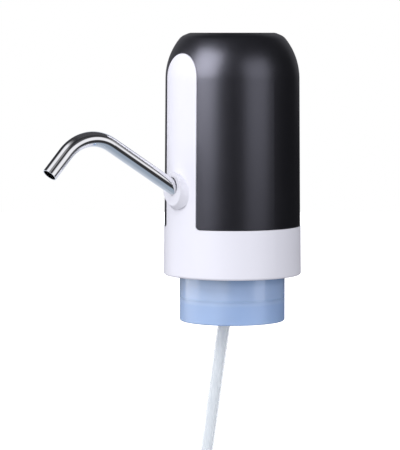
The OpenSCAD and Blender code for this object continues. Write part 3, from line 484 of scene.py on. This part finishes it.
def hose_mesh(name, path, outer, inner, sides, material):
    """A tube with its bore, its cut ends slightly bevelled."""
    bm = bmesh.new()
    first = (path[1] - path[0]).normalized()
    last = (path[-1] - path[-2]).normalized()
    body = [path[0] + first * CUT_EDGE] + path[1:-1] + [path[-1] - last * CUT_EDGE]
    out = sweep(bm, body, outer, sides)
    ins = sweep(bm, body, inner, sides, flip=True)

    def lip(ring, centre, at, radius):
        return [bm.verts.new(at + (v.co - centre).normalized() * radius) for v in ring]

    for ring, hole, centre, at, turn in ((out[0], ins[0], body[0], path[0], False),
                                         (out[-1], ins[-1], body[-1], path[-1], True)):
        a = lip(ring, centre, at, outer - CUT_EDGE)
        b = lip(hole, centre, at, inner + CUT_EDGE)
        loops = [ring, a, b, hole]
        for r, s in zip(loops, loops[1:]):
            if turn:
                bridge(bm, r, s)
            else:
                bridge(bm, s, r)
    bmesh.ops.recalc_face_normals(bm, faces=bm.faces)
    return mesh_object(name, bm, material)


# suction hose: the hanging stretch and the ring that is wound below the view, as in the solids (mm)
HOSE_D, HOSE_WALL, HOSE_SIDES = 7.0, 0.75, 28
HOSE_OUTER, HOSE_BORE = HOSE_D / 2 * MM, (HOSE_D / 2 - HOSE_WALL) * MM
HOSE_TOP, NOZZLE_FOOT, NOZZLE_AIM = 14.4, 7, -1
LEAN, HANG_L, HANG_EASE, HANG_END_EASE = 9.9, 68, 8, 24
HANG_S, HANG_Z = 6.1, -16.7
HANG_END_S, HANG_END_Z = HANG_S + HANG_L * sind(LEAN), HANG_Z - HANG_L * cosd(LEAN)
WIND_R, WIND_STEP, WIND_TURNS, WIND_FROM, WIND_POINTS = 38.5, 8.6, 1.2, 90, 24
WIND_DROP, WIND_ENTRY, WIND_ENTRY_EASE = 56, 1, 20
WIND_Z = HANG_END_Z - WIND_DROP
HANG_STEPS, BEND_STEPS, PATH_STEPS = 5, 8, 5


def wind_point(a):
    return Vector((WIND_STEP * (a - WIND_FROM) / 360, -WIND_R * sind(a), WIND_Z + WIND_R * cosd(a)))


def hose_route():
    """Points along the middle of the hose, from its nozzle to the far end of the ring, in metres."""
    slope = math.tan(math.radians(LEAN))
    p = [Vector((0, 0, HOSE_TOP))]
    p += cubic((0, 0, NOZZLE_FOOT), (0, 0, NOZZLE_AIM), (0, -HANG_S + HANG_EASE * slope, HANG_Z + HANG_EASE),
               (0, -HANG_S, HANG_Z), HANG_STEPS)
    p.append(Vector((0, -(HANG_S + HANG_END_S) / 2, (HANG_Z + HANG_END_Z) / 2)))
    p += cubic((0, -HANG_END_S, HANG_END_Z),
               (0, -HANG_END_S - HANG_END_EASE * slope, HANG_END_Z - HANG_END_EASE),
               (0, -WIND_R, WIND_Z + HOSE_D + WIND_ENTRY_EASE),
               (0, -WIND_R, WIND_Z + HOSE_D + WIND_ENTRY), BEND_STEPS)
    p.append(Vector((0, -WIND_R, WIND_Z + HOSE_D / 2)))
    count = math.ceil(WIND_POINTS * WIND_TURNS)
    end = WIND_FROM + 360 * WIND_TURNS
    p += [wind_point(WIND_FROM + (end - WIND_FROM) * i / count) for i in range(count + 1)]
    p.append(wind_point(end) + Vector((0, -cosd(end), -sind(end))) * HOSE_D)
    return [q * MM for q in p]


HOSE_PATH = smooth_path(hose_route(), PATH_STEPS)
hose = hose_mesh("suction_hose_skin", HOSE_PATH, HOSE_OUTER, HOSE_BORE, HOSE_SIDES, hose_clear)
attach(hose, "body")
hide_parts("suction_hose", "suction_hose_wound")

# strap round the wound hose (mm)
TIE_ANGLE, TIE_W, TIE_T, TIE_GAP, TIE_EDGE, TIE_ARC = 112, 7.0, 0.8, 0.3, 0.25, 24
LAP_FROM, LAP_L, LAP_STEPS, LAP_INSET, LAP_LIFT = 5.0, 6.0, 8, 0.3, 0.02
LAP_THIN, LAP_NARROW = {8: 0.7}, {7: 0.93, 8: 0.8}


def strap():
    """A woven strap round both turns of the hose, with its end lapped over along the lower side."""
    bm = bmesh.new()
    half = WIND_STEP / 2
    r_in = HOSE_D / 2 + TIE_GAP
    turn = Matrix.Translation((wind_point(TIE_ANGLE) + Vector((half, 0, 0))) * MM) @ Matrix.Rotation(
        math.radians(TIE_ANGLE - 90), 4, "X")
    loop = []
    for centre, start in ((half, -90), (-half, 90)):
        for k in range(TIE_ARC + 1):
            a = start + 180 * k / TIE_ARC
            loop.append((centre + r_in * cosd(a), r_in * sind(a)))

    def outward(i):
        a, b = Vector(loop[i - 1]), Vector(loop[(i + 1) % len(loop)])
        t = (b - a).normalized()
        return Vector((t.y, -t.x))

    w, foot = TIE_W / 2, TIE_EDGE * 0.3
    section = [(0.0, -w + TIE_EDGE), (foot, -w), (TIE_T - TIE_EDGE, -w), (TIE_T, -w + TIE_EDGE),
               (TIE_T, -w / 3), (TIE_T, w / 3), (TIE_T, w - TIE_EDGE), (TIE_T - TIE_EDGE, w), (foot, w),
               (0.0, w - TIE_EDGE)]
    rings = []
    for i, (x, y) in enumerate(loop):
        n = outward(i)
        rings.append([bm.verts.new((x + n.x * d, y + n.y * d, across)) for d, across in section])
    for i, r in enumerate(rings):
        bridge(bm, r, rings[(i + 1) % len(rings)])
    lap = []
    for j in range(LAP_STEPS + 1):
        x = LAP_FROM - LAP_L * j / LAP_STEPS
        y = -r_in - TIE_T
        t = TIE_T * LAP_THIN.get(j, 1.0)
        tip = (w - LAP_INSET) * LAP_NARROW.get(j, 1.0)
        lap.append([bm.verts.new((x, y - d, across)) for d, across in
                    ((LAP_LIFT, -tip), (t * 0.8, -tip), (t, -tip + TIE_EDGE), (t, 0), (t, tip - TIE_EDGE),
                     (t * 0.8, tip), (LAP_LIFT, tip))])
    for r, s in zip(lap, lap[1:]):
        bridge(bm, r, s)
    for r in (lap[0], lap[-1]):
        bm.faces.new(r)
    bmesh.ops.recalc_face_normals(bm, faces=bm.faces)
    for v in bm.verts:
        v.co = turn @ (v.co * MM)
    o = mesh_object("hose_strap", bm, strap_weave)
    sub = o.modifiers.new("smooth", "SUBSURF")
    sub.levels = sub.render_levels = 1
    return o


tie = strap()
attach(tie, "body")
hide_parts("hose_tie")

# hose from the manifold's nozzle to the socket behind the boss (mm)
PUMP_R, PUMP_GAP, MANIFOLD_Z, LUG_H = 13.5, 0.7, 21.3, 7
LIFT_H, LIFT_START, OUTLET_SIDES = 8, 0.3, 24
SOCKET_IN, BARB_L, BARB_EASE, HOSE_GAP = 12.5, 9.5, 6, 0.2
OUT = Vector((0, -cosd(SPOUT_SLOPE), sind(SPOUT_SLOPE)))
FACE = Vector((0, -BOSS_S, SPOUT_Z))
NOZZLE = Vector((0, -(PUMP_R + HOSE_D / 2 + PUMP_GAP), MANIFOLD_Z + LUG_H))
BARB = FACE - OUT * (SOCKET_IN + BARB_L - HOSE_GAP)


def outlet_route():
    """Points along the middle of the hose, up from the nozzle and over into the socket, in metres."""
    p = [NOZZLE + Vector((0, 0, LIFT_START))]
    p += cubic(NOZZLE + Vector((0, 0, LIFT_H)), NOZZLE + Vector((0, 0, LIFT_H + HOSE_D)),
               BARB - OUT * BARB_EASE, BARB, BEND_STEPS)
    p.append(FACE - OUT * (SOCKET_IN + HOSE_GAP))
    return [q * MM for q in p]


outlet = hose_mesh("outlet_hose_skin", smooth_path(outlet_route(), PATH_STEPS), HOSE_OUTER, HOSE_BORE,
                   OUTLET_SIDES, hose_clear)
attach(outlet, "body")
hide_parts("outlet_hose")

# leads (mm)
LEAD_GAP, LEAD_STUB, LEAD_EASE, LEAD_CORE = 0.2, 1, 0.45, 0.55
LEAD_SIDES, LEAD_STEPS, LEAD_PATH_STEPS = 12, 10, 3
LEAD_R, CHARGE_LEAD_R, LEAD_APART = 0.7, 0.6, 3
TOP_Z, BOARD_DEPTH, BOARD_T = 145.3, 13.5, 1.2
BOARD_Z = TOP_Z - BOARD_DEPTH - BOARD_T
TERMINAL_Y, TERMINAL_TOP, MOTOR_LEAD_X = 7.6, 90.1, -6
CELL_RING, CELL_ANGLE, CELL_TOP, BATTERY_LEAD_X = 24.45, 8, 121.8, 12
CELL_X, CELL_Y = CELL_RING * cosd(CELL_ANGLE), CELL_RING * sind(CELL_ANGLE)
CHARGE_LEAD_Y = 12


def lead_pair(name, node, ends, radius, material):
    """Two insulated leads, upright where they meet the pieces and closed at both ends."""
    bm = bmesh.new()
    gap, stub = Vector((0, 0, LEAD_GAP)), Vector((0, 0, LEAD_STUB))
    for a, b in ends:
        a, b = Vector(a) + gap, Vector(b) - gap
        ease = Vector((0, 0, (b - a).z * LEAD_EASE))
        pts = [a] + cubic(a + stub, a + ease, b - ease, b - stub, LEAD_STEPS) + [b]
        path = smooth_path([q * MM for q in pts], LEAD_PATH_STEPS)
        rings = sweep(bm, path, radius * MM, LEAD_SIDES)
        for ring, end in ((rings[0], path[0]), (rings[-1], path[-1])):
            core = [bm.verts.new(end + (v.co - end) * LEAD_CORE) for v in ring]
            bridge(bm, ring, core)
            bm.faces.new(core)
    bmesh.ops.recalc_face_normals(bm, faces=bm.faces)
    o = mesh_object(name, bm, material)
    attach(o, "body")
    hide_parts(node)


lead_pair("motor_leads_skin", "motor_leads",
          [((0, s * TERMINAL_Y, TERMINAL_TOP), (MOTOR_LEAD_X, s * LEAD_APART, BOARD_Z)) for s in (-1, 1)],
          LEAD_R, lead_red)
lead_pair("battery_leads_skin", "battery_leads",
          [((CELL_X - LEAD_APART, CELL_Y + LEAD_APART * s, CELL_TOP),
            (BATTERY_LEAD_X, CELL_Y + LEAD_APART * s, BOARD_Z)) for s in (-1, 1)],
          LEAD_R, lead_red)
lo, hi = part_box("charge_board")
CHARGE_Y, CHARGE_TOP = (lo.y + hi.y) / 2 / MM, hi.z / MM
lead_pair("charge_leads_skin", "charge_leads",
          [((LEAD_APART * s, CHARGE_Y, CHARGE_TOP),
            (LEAD_APART * s, CHARGE_LEAD_Y, BOARD_Z)) for s in (-1, 1)],
          CHARGE_LEAD_R, lead_black)

# floor and world
FLOOR_Z, FLOOR_R = -0.1865, 3.0
FLOOR_DARK, FLOOR_LIGHT = (0.76, 0.76, 0.77), (0.8, 0.8, 0.805)
SOFT_LOW, SOFT, WHITE = (0.54, 0.54, 0.582), (1.0, 1.0, 1.065), (1.0, 1.0, 1.0)
ROOM = (0.024, 0.024, 0.026)
SHADED = 0.7


def make_floor():
    """A pale floor that runs out to white; it is clear from below and doesn't show in reflections."""
    bm = bmesh.new()
    bmesh.ops.create_circle(bm, cap_ends=True, segments=96, radius=FLOOR_R)
    for v in bm.verts:
        v.co.z = FLOOR_Z
    m, tree, shader = new_material("floor_pale")
    where = coords(tree)
    tree.links.new(ramp(tree, noise(tree, where, 3.0), [(0.3, FLOOR_DARK), (0.7, FLOOR_LIGHT)]),
                   shader.inputs["Base Color"])
    shader.inputs["Roughness"].default_value = 0.7
    shader.inputs["Emission Color"].default_value = (*WHITE, 1)
    far = vector_maths(tree, "LENGTH", where)["Value"]
    tree.links.new(span(tree, far, 0.3, 1.0, 0.25, 0.6), shader.inputs["Emission Strength"])
    clear = tree.nodes.new("ShaderNodeBsdfTransparent")
    under = tree.nodes.new("ShaderNodeNewGeometry").outputs["Backfacing"]
    tree.links.new(mix_shaders(tree, under, shader.outputs[0], clear.outputs[0]),
                   tree.nodes["Material Output"].inputs["Surface"])
    floor = mesh_object("floor", bm, m, smooth=False)
    floor.visible_glossy = floor.visible_diffuse = False


def background(tree, colour):
    b = tree.nodes.new("ShaderNodeBackground")
    b.inputs["Color"].default_value = (*colour, 1)
    return b


def make_world():
    """White to the eye, a soft light, weaker from below and from the right, and a dim room in reflections."""
    w = bpy.data.worlds.new("studio")
    scene.world = w
    w.use_nodes = True
    tree = w.node_tree
    tree.nodes.clear()
    way = tree.nodes.new("ShaderNodeTexCoord").outputs["Generated"]
    height = rise(tree, axes(tree, way)["Z"], -1, 1)
    to_right = vector_maths(tree, "DOT_PRODUCT", way, (cosd(AZIMUTH), sind(AZIMUTH), 0))["Value"]
    soft = background(tree, SOFT)
    tree.links.new(ramp(tree, height, [(0.3, SOFT_LOW), (0.7, SOFT)]), soft.inputs["Color"])
    tree.links.new(span(tree, to_right, 1, SHADED, 0.2, 1), soft.inputs["Strength"])
    path = tree.nodes.new("ShaderNodeLightPath").outputs
    lit = mix_shaders(tree, path["Is Glossy Ray"], soft.outputs[0], background(tree, ROOM).outputs[0])
    seen = mix_shaders(tree, larger(tree, path["Is Camera Ray"], path["Is Transmission Ray"]), lit,
                       background(tree, WHITE).outputs[0])
    out = tree.nodes.new("ShaderNodeOutputWorld")
    tree.links.new(seen, out.inputs["Surface"])


# what reflections show
LAMP, WARM = (0.95, 0.95, 1.0), (1.0, 0.82, 0.4)
DARK, CEILING, COOL = (0.015, 0.015, 0.016), (0.05, 0.05, 0.055), (0.33, 0.4, 0.49)
PALE, CARD = (0.74, 0.79, 0.88), (1.0, 1.0, 1.03)
TENT_R = 6.0
SLIT_GLOW, FRONT_GLOW = 0.26, 0.2
RIGHT_BANDS = [(-1.0, -0.74, COOL), (-0.62, -0.22, DARK), (-0.08, 0.38, CARD), (0.52, 1.0, CEILING)]
LEFT_BANDS = [(-1.0, -0.93, COOL), (-0.6, 0.47, PALE), (0.55, 1.0, CEILING)]


def bands(tree, height, steps):
    """Colour by height on the tent, from rows of height from, height to and colour."""
    stops = []
    for low, high, col in steps:
        stops += [((low + 1) / 2, col), ((high + 1) / 2, col)]
    return ramp(tree, height, stops)


def glow_material(name):
    """A glow that lets the eye through, so that pieces which it doesn't light see past it."""
    m = bpy.data.materials.new(name)
    m.use_nodes = True
    tree = m.node_tree
    tree.nodes.clear()
    light = tree.nodes.new("ShaderNodeEmission")
    clear = tree.nodes.new("ShaderNodeBsdfTransparent")
    both = tree.nodes.new("ShaderNodeAddShader")
    out = tree.nodes.new("ShaderNodeOutputMaterial")
    tree.links.new(clear.outputs[0], both.inputs[0])
    tree.links.new(light.outputs[0], both.inputs[1])
    tree.links.new(both.outputs[0], out.inputs["Surface"])
    return m, tree, light


def only_in_reflections(card):
    card.visible_camera = card.visible_diffuse = card.visible_shadow = card.visible_transmission = False


def link_light(card, pieces, shown_in):
    """Show a card in the given pieces alone, or in all but them."""
    listed = bpy.data.collections.new(card.name)
    for piece in pieces:
        listed.objects.link(piece)
    for entry in listed.collection_objects:
        entry.light_linking.link_state = "INCLUDE" if shown_in else "EXCLUDE"
    card.light_linking.receiver_collection = listed


def make_tent(name, pieces):
    """Light and dark by direction, with a white roof over the spout's tip, shown in some pieces alone."""
    bm = bmesh.new()
    bmesh.ops.create_uvsphere(bm, u_segments=48, v_segments=24, radius=TENT_R)
    m, tree, glow = glow_material(name)
    way = axes(tree, vector_maths(tree, "NORMALIZE", on_object(tree))["Vector"])
    x, y, z = way["X"], way["Y"], way["Z"]
    height = rise(tree, z, -1, 1)
    walls = mix_colours(tree, rise(tree, x, 0.2, 0.5), bands(tree, height, LEFT_BANDS),
                        bands(tree, height, RIGHT_BANDS))
    ground = times(tree, fall(tree, x, -1.2, 0.3), fall(tree, z, -0.9, -0.78))
    walls = mix_colours(tree, ground, walls, plain(tree, PALE))
    side = times(tree, fall(tree, x, -0.9, -0.65), rise(tree, z, 0.12, 0.3))
    walls = mix_colours(tree, side, walls, plain(tree, DARK))
    roof = times(tree, fall(tree, y, -0.3, 0.0), rise(tree, z, 0.55, 0.7), fall(tree, x, 0.58, 0.86),
                 rise(tree, x, -0.5, -0.25))
    tree.links.new(mix_colours(tree, roof, walls, plain(tree, CARD)), glow.inputs["Color"])
    slit = larger(tree, span(tree, x, 1, SLIT_GLOW, 0.3, 0.45), span(tree, x, SLIT_GLOW, 1, 0.58, 0.72),
                  fall(tree, z, -0.1, 0.0))
    front = larger(tree, span(tree, y, FRONT_GLOW, 1, -0.05, 0.15), fall(tree, z, -0.06, 0.0), roof)
    tree.links.new(times(tree, slit, front), glow.inputs["Strength"])
    m.cycles.emission_sampling = "NONE"
    tent = mesh_object(name, bm, m, smooth=False)
    only_in_reflections(tent)
    link_light(tent, pieces, True)


def reflector(name, azimuth, elevation, distance, size, glow, pieces=(), shown_in=False, centre_z=0.08,
              tint=LAMP):
    """A card that faces the object and that only reflections see."""
    bm = bmesh.new()
    bmesh.ops.create_grid(bm, x_segments=2, y_segments=2, size=0.5)
    for v in bm.verts:
        v.co.x *= size[0]
        v.co.y *= size[1]
    m, tree, light = glow_material(name)
    light.inputs["Color"].default_value = (*tint, 1)
    light.inputs["Strength"].default_value = glow
    card = mesh_object(name, bm, m, smooth=False)
    away = Vector((sind(azimuth) * cosd(elevation), -cosd(azimuth) * cosd(elevation), sind(elevation)))
    card.location = Vector((0, 0, centre_z)) + away * distance
    card.rotation_mode = "QUATERNION"
    card.rotation_quaternion = away.to_track_quat("Z", "Y")
    only_in_reflections(card)
    if pieces:
        link_light(card, pieces, shown_in)


def softbox(name, azimuth, distance, height, size, watts, aim_z=0.1, gloss=False):
    data = bpy.data.lights.new(name, "AREA")
    data.shape = "RECTANGLE"
    data.size, data.size_y = size
    data.energy = watts
    data.color = LAMP
    o = bpy.data.objects.new(name, data)
    scene.collection.objects.link(o)
    o.location = (distance * sind(azimuth), -distance * cosd(azimuth), height)
    aim = Vector((0, 0, aim_z)) - o.location
    o.rotation_mode = "QUATERNION"
    o.rotation_quaternion = aim.to_track_quat("-Z", "Y")
    o.visible_camera = False
    o.visible_glossy = gloss


# the stage: floor, world, tent, lights and cards
NOT_SPOUT = {"pieces": [NODES["spout"]]}
NEAR = {"distance": 0.6, **NOT_SPOUT}
BACK = {"elevation": 22, "distance": 0.8, "size": (0.5, 0.6), "glow": 0.22, **NOT_SPOUT}
SLEEVE = {"elevation": -6, "distance": 0.4, "centre_z": 0.005, "pieces": [NODES["neck_adapter"]],
          "shown_in": True}
make_floor()
make_world()
make_tent("tent", [NODES["spout"]])
softbox("key_left", AZIMUTH - 28, distance=1.95, height=0.22, size=(0.8, 0.75), watts=6.2)
softbox("key_high", AZIMUTH - 43, distance=1.3, height=1.2, size=(0.75, 0.5), watts=8.9)
softbox("fill_right", AZIMUTH + 45, distance=2.0, height=0.42, size=(0.8, 1.2), watts=3.4)
softbox("front_left", AZIMUTH - 95, distance=2.0, height=0.5, size=(0.8, 1.2), watts=2.6, aim_z=0.07,
        gloss=True)
reflector("left_card", AZIMUTH - 100, elevation=2, distance=1.6, size=(1.4, 0.9), glow=1.6)
reflector("left_box", AZIMUTH - 48, elevation=26.5, size=(0.455, 0.51), glow=6.2, **NEAR)
reflector("right_box", AZIMUTH + 42.5, elevation=16, size=(0.45, 0.43), glow=1.63, **NEAR)
reflector("back_left", AZIMUTH - 155, **BACK)
reflector("back_right", AZIMUTH + 155, **BACK)
reflector("sleeve_left", AZIMUTH - 64, size=(1.22, 0.22), glow=0.95, tint=WARM, **SLEEVE)
reflector("sleeve_far", AZIMUTH - 136, size=(0.2, 0.22), glow=0.3, tint=WARM, **SLEEVE)
reflector("sleeve_right", AZIMUTH + 61, size=(0.2, 0.22), glow=1.7, **SLEEVE)

scene.view_settings.view_transform = "Standard"
scene.view_settings.look = "None"
